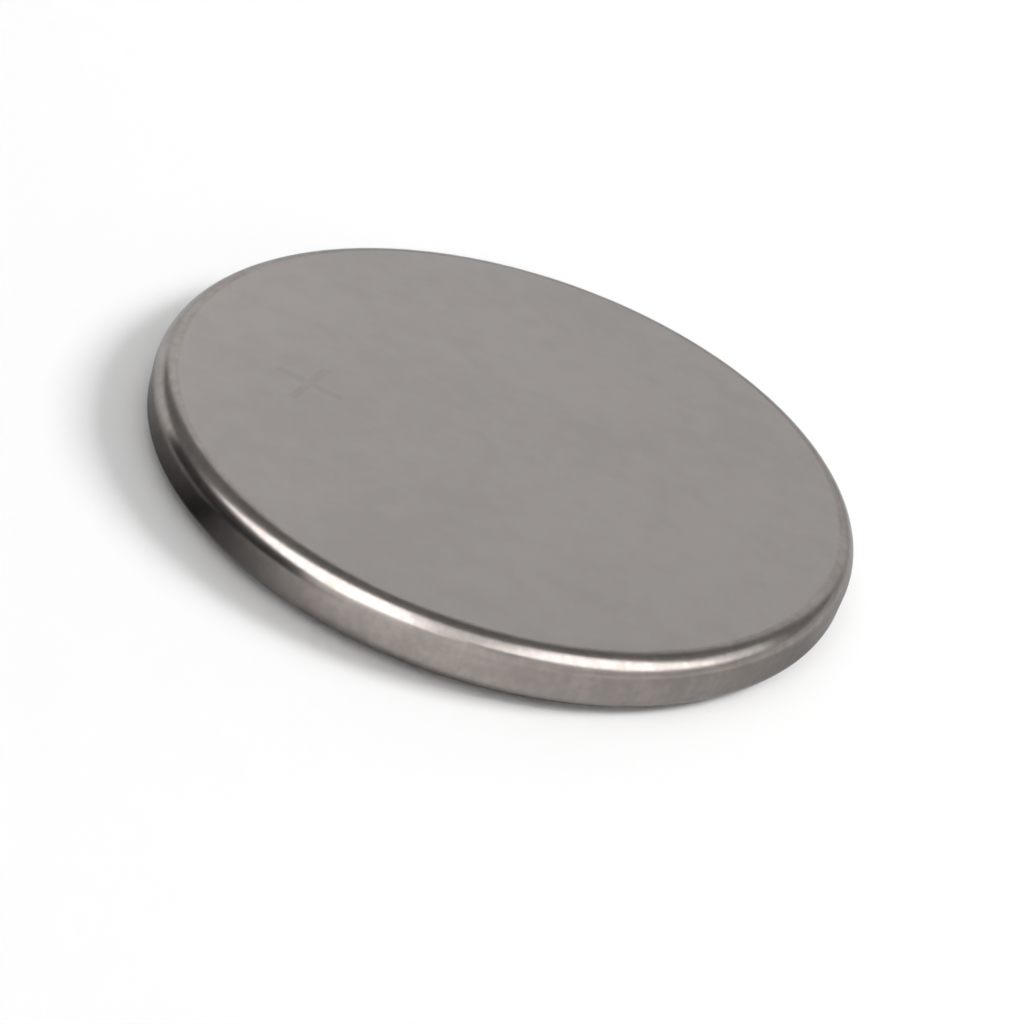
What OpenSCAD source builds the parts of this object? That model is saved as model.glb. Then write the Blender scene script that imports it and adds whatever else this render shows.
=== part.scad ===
// Lithium coin cell, lying on its negative cap with the positive face up.
// The origin is the centre of the negative contact, and +Z points to the positive contact.
// Every piece is a turned section. The can, cap, ring and separator are pressed from sheet, so
// their sections are walks along one face of the sheet: a run, then a bend, then the next run.

/* [Cell] */
// Diameter over the can
cell_d = 20; // [12:0.1:30]
// Height from the negative contact to the positive contact
cell_h = 1.6; // [1.3:0.05:5]
// How far the negative contact stands out past the rolled rim
contact_proud = 0.05; // [0.02:0.01:0.2]

/* [Can] */
// Sheet thickness of the can
can_t = 0.2; // [0.15:0.01:0.25]
// Outside radius between the positive face and the side wall
can_corner_r = 0.6; // [0.4:0.01:0.75]
// Outside radius of the rolled rim
crimp_r = 0.4; // [0.35:0.01:0.5]
// Angle that the rim is rolled through
crimp_turn = 85; // [75:1:90]
// Straight lip past the rolled rim's bend
crimp_lip = 0.45; // [0.3:0.01:0.55]

/* [Gasket] */
// Wall thickness between the can and the cap's skirt
gasket_wall = 0.25; // [0.15:0.01:0.35]
// Thickness between the rim's edge and the cap's shoulder
gasket_cover = 0.1; // [0.08:0.01:0.15]
// Thickness of the foot under the cap's skirt
gasket_foot = 0.2; // [0.1:0.01:0.25]
// Thickness of the lip inside the cap's skirt
gasket_lip = 0.2; // [0.1:0.01:0.3]
// Space between that lip and the bend of the cap's shoulder
gasket_lip_gap = 0.1; // [0.05:0.01:0.15]
// Width of the ring that shows inside the rolled rim
gasket_show = 0.24; // [0.1:0.01:0.3]
// How far the showing end lies behind the rim
gasket_inset = 0.03; // [0.01:0.01:0.1]
// Bevel on the showing end
gasket_bevel = 0.04; // [0.01:0.01:0.04]
// Film of sealant between the gasket and the metal
film_t = 0.02; // [0.01:0.005:0.03]

/* [Cap] */
// Sheet thickness of the cap
cap_t = 0.2; // [0.15:0.01:0.25]
// Slope of the riser between the contact and the shoulder
cap_slope = 50; // [40:1:60]
// Inside radius between the contact and the riser
cap_face_r = 0.25; // [0.1:0.01:0.3]
// Inside radius between the riser and the shoulder
cap_root_r = 0.3; // [0.1:0.01:0.35]
// Inside radius between the shoulder and the skirt
cap_edge_r = 0.08; // [0.05:0.01:0.12]
// Width of the flat shoulder
cap_shoulder_w = 0.68; // [0.5:0.01:0.9]

/* [Anode] */
// Thickness of the lithium disc
lithium_t = 0.3; // [0.2:0.01:0.36]
// Space between the disc's edge and the bend of the cap
lithium_margin = 0.34; // [0.1:0.01:1]

/* [Separator] */
// Thickness of the separator
separator_t = 0.12; // [0.05:0.01:0.15]
// Inside radius of the separator's bend
separator_bend_r = 0.1; // [0.05:0.01:0.12]
// Space between the separator and the cap's riser
separator_space = 0.1; // [0.05:0.01:0.5]
// Space between the separator's edge and the can
separator_edge_gap = 0.15; // [0.05:0.01:0.25]

/* [Cathode] */
// Sheet thickness of the cathode ring
ring_t = 0.1; // [0.05:0.01:0.15]
// Width of the ring's foot, which bears on the can
ring_foot_w = 1.3; // [0.5:0.1:2.5]
// Inside radius of the ring's bend
ring_bend_r = 0.05; // [0.03:0.01:0.08]
// Space between the ring's edge and the separator
ring_edge_gap = 0.1; // [0.05:0.01:0.15]
// Space between the ring and the separator's wall
ring_space = 0.03; // [0.01:0.01:0.1]
// Bevel on the pellet's edges
pellet_bevel = 0.08; // [0.05:0.01:0.15]
// Space between the pellet and the ring's wall
pellet_space = 0.02; // [0.01:0.005:0.05]

/* [Hidden] */
$fn = 144;

// Can: the inside faces, and the rolled rim's centre and end
cell_r = cell_d / 2;
can_floor_z = cell_h - can_t;
can_wall_r = cell_r - can_t;
crimp_z = contact_proud + crimp_r * sin(crimp_turn) + crimp_lip * cos(crimp_turn);
can_wall_h = cell_h - can_corner_r - crimp_z;
rim_opening_r = cell_r - crimp_r + (crimp_r - can_t) * cos(crimp_turn) - crimp_lip * sin(crimp_turn);
rim_outer_r = rim_opening_r + can_t * cos(crimp_turn);
rim_edge_z = contact_proud + can_t * sin(crimp_turn);

// Cap: the skirt lines up with the gasket's wall, and the shoulder with the rolled rim
skirt_r = can_wall_r - 2 * film_t - gasket_wall;
skirt_inner_r = skirt_r - cap_t;
cap_corner_r = cap_edge_r + cap_t;
shoulder_z = rim_edge_z + gasket_cover + 2 * film_t;
riser_bends = cap_face_r + cap_t + cap_root_r;
riser_run = (shoulder_z - riser_bends * (1 - cos(cap_slope))) / sin(cap_slope);
contact_r = skirt_r - cap_corner_r - cap_shoulder_w
  - riser_bends * sin(cap_slope) - riser_run * cos(cap_slope);
dish_r = contact_r + cap_face_r * sin(cap_slope) + riser_run * cos(cap_slope);

// Gasket: the foot bears on the can, and the skirt's edge bears on the foot
foot_top_z = can_floor_z - film_t;
foot_z = foot_top_z - gasket_foot;
skirt_edge_z = foot_z - film_t;
lip_r = skirt_inner_r - film_t - gasket_lip;
lip_end_z = shoulder_z + cap_corner_r + gasket_lip_gap;
show_r = rim_opening_r - film_t - gasket_show;
show_z = contact_proud + gasket_inset;

// Stack: lithium on the cap, then the separator, then the pellet and its ring up to the can
separator_z = cap_t + lithium_t;
pellet_z = separator_z + separator_t;
separator_r = dish_r - separator_space;
separator_edge_z = can_floor_z - separator_edge_gap;
ring_r = separator_r - separator_t - ring_space;
ring_foot_r = ring_r - ring_foot_w;
ring_edge_z = pellet_z + ring_edge_gap;
pellet_r = ring_r - ring_t - pellet_space;
pellet_neck_r = ring_foot_r - pellet_space;
pellet_step_z = can_floor_z - ring_t;
lithium_r = contact_r - lithium_margin;

function polar(r, a) = [r * cos(a), r * sin(a)];

// Section of a pressed sheet of thickness t, which lies above the walk along its lower face.
// Each step is [run, turn, inside radius], and a positive turn bends the sheet upwards.
// grow adds a margin to both faces.
module pressed(steps, t, grow = 0, i = 0) {
  if (i < len(steps)) {
    run = steps[i][0];
    turn = steps[i][1];
    inside_r = steps[i][2];
    translate([0, -grow]) square([run, t + 2 * grow]);
    if (turn > 0)
      translate([run, t + inside_r]) {
        bend(inside_r - grow, t + 2 * grow, -90, turn - 90);
        rotate(turn) translate([0, -t - inside_r]) pressed(steps, t, grow, i + 1);
      }
    if (turn < 0)
      translate([run, -inside_r]) {
        bend(inside_r - grow, t + 2 * grow, 90 + turn, 90);
        rotate(turn) translate([0, inside_r]) pressed(steps, t, grow, i + 1);
      }
  }
}

// One bend of a sheet round its centre, from angle a to angle b
module bend(inside_r, t, a, b) {
  outer_r = inside_r + t;
  reach = 2 * outer_r / cos((b - a) / 2);
  intersection() {
    difference() {
      circle(r = outer_r);
      circle(r = inside_r);
    }
    polygon([[0, 0], polar(reach, a), polar(reach, (a + b) / 2), polar(reach, b)]);
  }
}

// The can's section, walked from the centre of its face: corner, side wall, rolled rim and lip
module can_section(grow = 0) {
  translate([0, cell_h]) mirror([0, 1])
    pressed([
      [cell_r - can_corner_r, 90, can_corner_r - can_t],
      [can_wall_h, crimp_turn, crimp_r - can_t],
      [crimp_lip + grow, 0, 0]
    ], can_t, grow);
}

// The cap's section, walked from the centre of its contact: riser, shoulder and skirt
module cap_section(grow = 0) {
  pressed([
    [contact_r, cap_slope, cap_face_r],
    [riser_run, -cap_slope, cap_root_r],
    [cap_shoulder_w, 90, cap_edge_r],
    [skirt_edge_z - shoulder_z - cap_corner_r + grow, 0, 0]
  ], cap_t, grow);
}

// Steel can, rolled over the gasket at its rim
module positive_can() {
  color("lightgray") rotate_extrude() can_section();
}

// Steel cap, a stepped dish whose skirt stands in the gasket
module negative_cap() {
  color("silver") rotate_extrude() cap_section();
}

// Plastic gasket with a J-shaped section. It fills the space between the two sheets, so its
// outline runs inside their thickness, and the sheets with their film of sealant are cut away.
module gasket() {
  corner = [cell_r - can_corner_r, cell_h - can_corner_r];
  roll = [cell_r - crimp_r, crimp_z];
  shoulder_mid_z = shoulder_z + cap_t / 2;
  color("dimgray")
    rotate_extrude()
      difference() {
        polygon(concat(
          [[lip_r, cell_h - can_t / 2]],
          [for (a = [90, 45, 0]) corner + polar(can_corner_r - can_t / 2, a)],
          [for (a = [0, -crimp_turn / 2, -crimp_turn]) roll + polar(crimp_r - can_t / 2, a)],
          [[rim_outer_r, rim_edge_z - can_t / 2], [rim_outer_r, show_z]],
          [[show_r + gasket_bevel, show_z], [show_r, show_z + gasket_bevel]],
          [[show_r, shoulder_mid_z], [lip_r, shoulder_mid_z]]
        ));
        can_section(film_t);
        cap_section(film_t);
        translate([lip_r - cap_t, shoulder_mid_z])
          square([skirt_r - lip_r + cap_t / 2, lip_end_z - shoulder_mid_z]);
      }
}

// Lithium foil disc, pressed onto the inside of the cap
module lithium_disc() {
  color("lightsteelblue")
    translate([0, 0, cap_t]) cylinder(r = lithium_r, h = lithium_t);
}

// Separator cup between the lithium and the pellet
module separator() {
  color("white")
    rotate_extrude()
      translate([0, separator_z])
        pressed([
          [separator_r - separator_t - separator_bend_r, 90, separator_bend_r],
          [separator_edge_z - pellet_z - separator_bend_r, 0, 0]
        ], separator_t);
}

// Manganese dioxide pellet, with a neck that fills the ring's foot and touches the can
module cathode_pellet() {
  color("black")
    rotate_extrude()
      polygon([
        [0, pellet_z],
        [pellet_r - pellet_bevel, pellet_z], [pellet_r, pellet_z + pellet_bevel],
        [pellet_r, pellet_step_z - pellet_bevel], [pellet_r - pellet_bevel, pellet_step_z],
        [pellet_neck_r, pellet_step_z], [pellet_neck_r, can_floor_z],
        [0, can_floor_z]
      ]);
}

// Steel ring with an L-shaped section, which the pellet is pressed into
module cathode_ring() {
  bend_r = ring_t + ring_bend_r;
  color("gray")
    rotate_extrude()
      translate([ring_foot_r, can_floor_z]) mirror([0, 1])
        pressed([
          [ring_foot_w - bend_r, 90, ring_bend_r],
          [can_floor_z - bend_r - ring_edge_z, 0, 0]
        ], ring_t);
}

positive_can();
gasket();
negative_cap();
lithium_disc();
separator();
cathode_pellet();
cathode_ring();
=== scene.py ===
"""Looks of a lithium coin cell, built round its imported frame.

The cell lies on its negative cap with the positive face up. Every piece is a surface of
revolution about +Z: a section in millimetres, worked out as numpy arrays and carried round
the axis. The sizes of each piece come from its node in the frame, and the sheet thicknesses
and bends are those of the construction.
"""

import logging
import math
from collections.abc import Callable, Sequence
from dataclasses import dataclass
from enum import Enum

import bpy
import numpy as np
from mathutils import Matrix, Vector


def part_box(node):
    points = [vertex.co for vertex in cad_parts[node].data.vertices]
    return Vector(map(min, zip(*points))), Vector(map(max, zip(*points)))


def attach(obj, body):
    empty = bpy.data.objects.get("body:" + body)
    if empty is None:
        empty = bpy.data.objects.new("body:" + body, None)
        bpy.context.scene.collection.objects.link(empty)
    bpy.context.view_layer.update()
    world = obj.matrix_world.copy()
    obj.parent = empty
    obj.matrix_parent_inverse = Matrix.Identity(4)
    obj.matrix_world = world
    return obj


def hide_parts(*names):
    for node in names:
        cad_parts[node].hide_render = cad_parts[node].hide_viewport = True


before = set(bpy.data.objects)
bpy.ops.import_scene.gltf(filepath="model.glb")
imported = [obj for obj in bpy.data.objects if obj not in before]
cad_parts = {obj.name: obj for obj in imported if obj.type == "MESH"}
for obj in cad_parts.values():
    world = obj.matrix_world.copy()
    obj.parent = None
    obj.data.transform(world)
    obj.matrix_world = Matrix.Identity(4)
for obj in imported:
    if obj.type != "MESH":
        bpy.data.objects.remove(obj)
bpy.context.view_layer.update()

log = logging.getLogger("coin_cell")

MM = 0.001
BEND_STEP = 4.0  # largest angle between two points of a bend, in degrees
EDGE_STEP = 15.0  # the same on a small edge
SAME_POINT = 1e-6  # distance within which two points are one, in millimetres
SHARP_ANGLE = 40.0  # angle past which an edge is shaded sharp, in degrees
# TONE holds each card point's grey, the darkness of its painted reflection
TONE = "tone"  # a card's attribute for the grey of each point
Triple = tuple[float, float, float]
Colour = Triple
Relief = Callable[[np.ndarray, np.ndarray, np.ndarray], np.ndarray]


class Slot(Enum):
    """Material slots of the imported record."""

    CAN = "can_steel"
    GASKET = "gasket_plastic"
    CAP = "cap_steel"
    LITHIUM = "lithium"
    SEPARATOR = "separator_fleece"
    PELLET = "pellet"
    RING = "ring_steel"


# ---------------------------------------------------------------- sections


@dataclass(frozen=True)
class Step:
    """One straight run of a pressed sheet, and the bend that follows it.

    Attributes:
        run: Length of the run.
        turn: Angle of the bend in degrees. A positive bend goes up.
        inside_r: Inside radius of the bend.
        rings: Points inside the run, besides those at its ends.
    """

    run: float
    turn: float = 0.0
    inside_r: float = 0.0
    rings: int = 0


def unit(angle: float | np.ndarray) -> np.ndarray:
    """Unit vector, or one for each angle, at an angle in degrees: (cos a, sin a)."""
    return np.stack([np.cos(np.radians(angle)), np.sin(np.radians(angle))], axis=-1)


def arc(
    centre: Sequence[float], radius: float, start: float, end: float, step: float = BEND_STEP,
) -> np.ndarray:
    """Points on a circle: centre + radius * (cos a, sin a), with a evenly spaced.

    Args:
        centre: Centre of the circle.
        radius: Its radius.
        start: First angle in degrees.
        end: Last angle in degrees.
        step: Largest angle between two points.

    Returns:
        The points as an (n, 2) array.
    """
    count = max(2, math.ceil(abs(end - start) / step) + 1)
    return np.asarray(centre) + radius * unit(np.linspace(start, end, count))


def run_marks(step: Step, edge: float) -> np.ndarray:
    """Distances of the points along a run: its ends, one close to each, and its rings.

    The close points keep the shading of the bends off the flats.

    Args:
        step: The run.
        edge: Distance of the close points from the ends.

    Returns:
        The distances in rising order.
    """
    inner = np.linspace(edge, step.run - edge, step.rings + 2)
    return np.concatenate([[0.0], inner, [step.run]])


def pressed(start: Sequence[float], steps: Sequence[Step], thickness: float, edge_r: float) -> np.ndarray:
    """Outline of a pressed sheet: out along its lower face, round its cut edge, and back.

    The walk keeps a point on the lower face and a heading h. A run moves the point along
    (cos h, sin h), and the upper face lies one thickness along the left normal. A bend
    turns both faces about one centre on its inside. A cut edge has two quarter circles.

    Args:
        start: Radius and height where the walk starts.
        steps: The runs and bends.
        thickness: Sheet thickness.
        edge_r: Radius of the cut edge's two corners.

    Returns:
        The outline as an (n, 2) array of radius and height, with the metal on its left.
    """
    close = 0.5 * edge_r
    point, heading = np.asarray(start, float), 0.0
    lower, upper, cut_edges = [], [], []
    for index, step in enumerate(steps):
        along, left = unit(heading), unit(heading + 90)
        marks = run_marks(step, close)
        if index == 0 and point[0] > 0:
            marks = marks[1:]
            inner = point + edge_r * along
            high, low = inner + (thickness - edge_r) * left, inner + edge_r * left
            cut_edges.append(arc(high, edge_r, heading + 90, heading + 180, EDGE_STEP))
            cut_edges.append(arc(low, edge_r, heading + 180, heading + 270, EDGE_STEP))
        if index == len(steps) - 1:
            marks = marks[marks < step.run - edge_r]
        lower.append(point + marks[:, None] * along)
        upper.append(point + marks[:, None] * along + thickness * left)
        point = point + step.run * along
        if step.turn:
            side = math.copysign(1, step.turn)
            lower_r = step.inside_r + (thickness if side > 0 else 0)
            upper_r = step.inside_r + (0 if side > 0 else thickness)
            centre = point + side * lower_r * left
            first = heading - side * 90
            lower.append(arc(centre, lower_r, first, first + step.turn)[1:-1])
            upper.append(arc(centre, upper_r, first, first + step.turn)[1:-1])
            heading += step.turn
            point = centre - side * lower_r * unit(heading + 90)
    inner = point - edge_r * along
    high, low = inner + (thickness - edge_r) * left, inner + edge_r * left
    end_edge = [
        arc(low, edge_r, heading - 90, heading, EDGE_STEP),
        arc(high, edge_r, heading, heading + 90, EDGE_STEP),
    ]
    return np.concatenate([*lower, *end_edge, np.concatenate(upper)[::-1], *cut_edges])


def filleted(corners: Sequence[Sequence[float]], radii: Sequence[float]) -> np.ndarray:
    """Closed outline through corners, each rounded by its radius.

    A corner between unit directions p (in) and q (out), which turn by angle w, is cut back
    by r * tan(|w| / 2) on both sides. Its arc's centre lies r along the normal of p.

    Args:
        corners: The corners in order, each a radius and a height.
        radii: The radius at each corner. Zero leaves it sharp.

    Returns:
        The outline as an (n, 2) array.
    """
    points = np.asarray(corners, float)
    into = points - np.roll(points, 1, axis=0)
    into /= np.linalg.norm(into, axis=1, keepdims=True)
    out = np.roll(into, -1, axis=0)
    turns = np.degrees(np.arctan2(into[:, 0] * out[:, 1] - into[:, 1] * out[:, 0], (into * out).sum(axis=1)))
    outline = []
    for corner, p, turn, radius in zip(points, into, turns, radii):
        if radius == 0:
            outline.append(corner[None])
            continue
        side = math.copysign(1, turn)
        normal = side * np.array([-p[1], p[0]])
        centre = corner - radius * math.tan(math.radians(abs(turn)) / 2) * p + radius * normal
        first = math.degrees(math.atan2(-normal[1], -normal[0]))
        outline.append(arc(centre, radius, first, first + turn, EDGE_STEP))
    return np.concatenate(outline)


def meshed(name: str, points: np.ndarray, faces: list[list[int]]) -> bpy.types.Object:
    """Puts points and faces into an object of their own.

    Args:
        name: Name of the object and its mesh.
        points: The points as an (n, 3) array, in millimetres.
        faces: The numbers of each face's points.

    Returns:
        The object, in the scene's collection.
    """
    mesh = bpy.data.meshes.new(name)
    mesh.from_pydata((points * MM).tolist(), [], faces)
    made = bpy.data.objects.new(name, mesh)
    bpy.context.scene.collection.objects.link(made)
    return made


def turned(name: str, outline: np.ndarray, segments: int, relief: Relief | None = None) -> bpy.types.Object:
    """Surface of revolution about +Z.

    Point k of the outline at angle a goes to (r_k cos a, r_k sin a, z_k). An outline that
    starts or ends on the axis is closed there by one pole, and any other is a closed loop.
    A relief first moves the point by (dr, dz), which it gives for each r, a and z.

    Args:
        name: Name of the object and its mesh.
        outline: Radius and height of each point, in millimetres.
        segments: Number of steps round the axis.
        relief: Gives the shift of each point, as an array with a last axis of two.

    Returns:
        The object, in the scene's collection.
    """
    step = np.linalg.norm(outline - np.roll(outline, 1, axis=0), axis=1)
    outline = outline[step > SAME_POINT]
    r, z = outline.T
    if np.sum(r * np.roll(z, -1) - np.roll(r, -1) * z) < 0:
        r, z = r[::-1], z[::-1]
    poles = np.flatnonzero(r < SAME_POINT)
    if len(poles) == 2:
        first = poles[1] if poles[1] - poles[0] == 1 else poles[0]
        r, z = np.roll(r, -first), np.roll(z, -first)
    elif len(poles):
        raise ValueError(f"{name}: its outline meets the axis {len(poles)} times")
    ring = slice(1, -1) if len(poles) else slice(None)
    angle = np.linspace(0, 2 * np.pi, segments, endpoint=False)
    radius, turn = np.meshgrid(r[ring], angle, indexing="ij")
    height = np.repeat(z[ring, None], segments, axis=1)
    if relief is not None:
        shift = relief(radius, turn, height)
        radius, height = radius + shift[..., 0], height + shift[..., 1]
    grid = np.stack([radius * np.cos(turn), radius * np.sin(turn), height], axis=-1).reshape(-1, 3)
    rows = len(radius)
    here = np.arange(rows * segments).reshape(rows, segments)
    nearby = np.roll(here, -1, axis=1)
    if len(poles):
        quads = np.stack([here[:-1], nearby[:-1], nearby[1:], here[1:]], axis=-1).reshape(-1, 4)
        ends = rows * segments + np.arange(2)
        low = np.stack([np.full(segments, ends[0]), nearby[0], here[0]], axis=-1)
        high = np.stack([np.full(segments, ends[1]), here[-1], nearby[-1]], axis=-1)
        grid = np.concatenate([grid, [[0, 0, z[0]], [0, 0, z[-1]]]])
        faces = [*quads.tolist(), *low.tolist(), *high.tolist()]
    else:
        above, beside = np.roll(here, -1, axis=0), np.roll(nearby, -1, axis=0)
        faces = np.stack([here, nearby, beside, above], axis=-1).reshape(-1, 4).tolist()
    made = meshed(name, grid, faces)
    made.data.shade_smooth()
    made.data.set_sharp_from_angle(angle=math.radians(SHARP_ANGLE))
    return made


def waves(angle: np.ndarray, counts: Sequence[int], seed: int) -> np.ndarray:
    """Sum of sine waves round the axis, scaled to lie from 0 to 1.

    Args:
        angle: Angle of each point in radians.
        counts: How many times each wave repeats in a turn.
        seed: Seed of the waves' phases.

    Returns:
        One value for each angle.
    """
    phases = np.random.default_rng(seed).uniform(0, 2 * np.pi, len(counts))
    total = sum(np.sin(count * angle + phase) for count, phase in zip(counts, phases))
    return 0.5 + 0.5 * total / len(counts)


def ramp(value: np.ndarray, low: float, high: float) -> np.ndarray:
    """Smooth step: 0 below low, 1 above high, and 3t^2 - 2t^3 between."""
    t = np.clip((value - low) / (high - low), 0, 1)
    return t * t * (3 - 2 * t)


# ---------------------------------------------------------------- node trees


class Kind(Enum):
    """What a group's socket carries."""

    PLACE = "NodeSocketVector"
    NUMBER = "NodeSocketFloat"
    COLOUR = "NodeSocketColor"


class Nodes:
    """Adds nodes to one node tree and links them."""

    def __init__(self, tree: bpy.types.NodeTree) -> None:
        """Keeps the tree to add to."""
        self.tree = tree

    def feed(self, socket: bpy.types.NodeSocket, value: object) -> None:
        """Links an output to an input, or sets the input's own value.

        Args:
            socket: The input.
            value: A node's output, or a plain value. None leaves the input alone.
        """
        if isinstance(value, bpy.types.NodeSocket):
            self.tree.links.new(value, socket)
        elif value is not None:
            socket.default_value = value

    def add(
        self, kind: str, inputs: dict[str | int, object] | None = None, **settings: object,
    ) -> bpy.types.Node:
        """Adds a node.

        Args:
            kind: Its type, such as ShaderNodeMath.
            inputs: What each input gets, by its name or number.
            settings: The node's own settings.

        Returns:
            The node.
        """
        node = self.tree.nodes.new(kind)
        for key, value in settings.items():
            setattr(node, key, value)
        for key, value in (inputs or {}).items():
            self.feed(node.inputs[key], value)
        return node

    def math(self, operation: str, a: object, b: object = None, c: object = None) -> bpy.types.NodeSocket:
        """Adds a Math node and returns its output."""
        return self.add("ShaderNodeMath", {0: a, 1: b, 2: c}, operation=operation).outputs[0]

    def times(self, value: object, factor: object) -> bpy.types.NodeSocket:
        """Returns value * factor."""
        return self.math("MULTIPLY", value, factor)

    def line(self, value: object, slope: object, start: object) -> bpy.types.NodeSocket:
        """Returns value * slope + start."""
        return self.math("MULTIPLY_ADD", value, slope, start)

    def length(self, x: object, y: object) -> bpy.types.NodeSocket:
        """Returns the square root of x * x + y * y."""
        return self.math("SQRT", self.line(x, x, self.times(y, y)))

    def span(
        self, value: object, low: float, high: float, to_low: float = 0.0, to_high: float = 1.0,
    ) -> bpy.types.NodeSocket:
        """Smoothly maps low..high to to_low..to_high, and stays at the ends beyond them."""
        inputs = {"Value": value, "From Min": low, "From Max": high, "To Min": to_low, "To Max": to_high}
        return self.add("ShaderNodeMapRange", inputs, interpolation_type="SMOOTHSTEP").outputs[0]

    def mix(self, factor: object, a: object, b: object) -> bpy.types.NodeSocket:
        """Mixes two colours."""
        return self.add("ShaderNodeMix", {0: factor, 6: a, 7: b}, data_type="RGBA").outputs[2]

    def blend(self, factor: object, a: object, b: object) -> bpy.types.NodeSocket:
        """Mixes two numbers."""
        return self.add("ShaderNodeMix", {0: factor, 2: a, 3: b}, data_type="FLOAT").outputs[0]

    def noise(
        self, place: object, per_mm: object, detail: float = 2.0, roughness: float = 0.5,
    ) -> bpy.types.NodeSocket:
        """Adds a noise pattern with so many lumps per millimetre, and returns its value."""
        inputs = {"Vector": place, "Scale": per_mm, "Detail": detail, "Roughness": roughness}
        return self.add("ShaderNodeTexNoise", inputs).outputs[0]

    def scaled(self, place: object, shares: Triple) -> bpy.types.NodeSocket:
        """Multiplies a place by a share on each axis."""
        return self.add("ShaderNodeVectorMath", {0: place, 1: shares}, operation="MULTIPLY").outputs[0]

    def local(
        self, place: object, scale: Triple, centre: Triple = (0, 0, 0), turn: float = 0.0,
    ) -> bpy.types.NodeSocket:
        """Reads a place in another frame: less its centre, turned back, and over its scale.

        Args:
            place: The place.
            scale: Length of the frame's unit on each axis.
            centre: The frame's centre.
            turn: The frame's angle about +Z, in degrees.

        Returns:
            The place in that frame.
        """
        given = {"Vector": place, "Location": centre, "Rotation": (0, 0, math.radians(turn)), "Scale": scale}
        return self.add("ShaderNodeMapping", given, vector_type="TEXTURE").outputs[0]

    def object_place(self) -> bpy.types.NodeSocket:
        """Returns the place in the object's own frame, in metres."""
        return self.add("ShaderNodeTexCoord").outputs["Object"]


class EffectGroup:
    """A shader node group with named sockets, made once and shared by the materials.

    Attributes:
        name: The group's name.
        inputs: What each input carries, and its first value.
        outputs: What each output carries.
    """

    name = ""
    inputs: dict[str, tuple[Kind, object]] = {}
    outputs: dict[str, Kind] = {}

    @classmethod
    def tree(cls) -> bpy.types.NodeTree:
        """Makes the group's tree the first time, and finds it after that.

        Returns:
            The tree.
        """
        known = bpy.data.node_groups.get(cls.name)
        if known is not None:
            return known
        made = bpy.data.node_groups.new(cls.name, "ShaderNodeTree")
        for key, (kind, value) in cls.inputs.items():
            socket = made.interface.new_socket(key, in_out="INPUT", socket_type=kind.value)
            if value is not None:
                socket.default_value = value
        for key, kind in cls.outputs.items():
            made.interface.new_socket(key, in_out="OUTPUT", socket_type=kind.value)
        nodes = Nodes(made)
        source, target = nodes.add("NodeGroupInput"), nodes.add("NodeGroupOutput")
        for key, value in cls.wire(nodes, source.outputs).items():
            nodes.feed(target.inputs[key], value)
        return made

    @classmethod
    def placed(cls, nodes: Nodes, inputs: dict[str, object]) -> bpy.types.NodeSocket:
        """Places the group in a material and returns its output."""
        return nodes.add("ShaderNodeGroup", inputs, node_tree=cls.tree()).outputs[0]

    @classmethod
    def wire(cls, nodes: Nodes, given: bpy.types.NodeOutputs) -> dict[str, bpy.types.NodeSocket]:
        """Adds the group's nodes.

        Args:
            nodes: The group's tree.
            given: The group's inputs.

        Returns:
            What each of its outputs gives.
        """
        raise NotImplementedError


class Mottle(EffectGroup):
    """Cloudy change of tone: the mean of a coarse and a middling noise pattern.

    Attributes:
        closer: How many times closer the middling pattern's lumps lie.
        contrast: Values of the mean between which the tone goes from dark to light.
    """

    name = "mottle"
    inputs = {
        "Place": (Kind.PLACE, None),
        "Patches per mm": (Kind.NUMBER, 0.3),
        "Dark": (Kind.COLOUR, (0.4, 0.4, 0.4, 1)),
        "Light": (Kind.COLOUR, (0.6, 0.6, 0.6, 1)),
    }
    outputs = {"Colour": Kind.COLOUR}
    closer = 5.0
    contrast = (0.36, 0.64)

    @classmethod
    def wire(cls, nodes: Nodes, given: bpy.types.NodeOutputs) -> dict[str, bpy.types.NodeSocket]:
        """Adds the two patterns and the mix of the two colours.

        Args:
            nodes: The group's tree.
            given: The group's inputs.

        Returns:
            The cloudy colour.
        """
        place, per_mm = given["Place"], given["Patches per mm"]
        coarse = nodes.noise(place, per_mm, detail=2.0)
        middling = nodes.noise(place, nodes.times(per_mm, cls.closer), detail=3.0)
        mean = nodes.line(nodes.math("ADD", coarse, middling), 0.5, 0.0)
        return {"Colour": nodes.mix(nodes.span(mean, *cls.contrast), given["Dark"], given["Light"])}

    @classmethod
    def around(
        cls, nodes: Nodes, place: bpy.types.NodeSocket, colour: Colour, variation: float, per_mm: float,
    ) -> bpy.types.NodeSocket:
        """Places the mottle so that it goes above and below a colour by a share of it.

        Args:
            nodes: The material's nodes.
            place: Places in millimetres.
            colour: The colour.
            variation: The share.
            per_mm: Patches per millimetre.

        Returns:
            The cloudy colour.
        """
        dark, light = rgba(colour, 1 - variation), rgba(colour, 1 + variation)
        return cls.placed(nodes, {"Place": place, "Patches per mm": per_mm, "Dark": dark, "Light": light})


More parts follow.
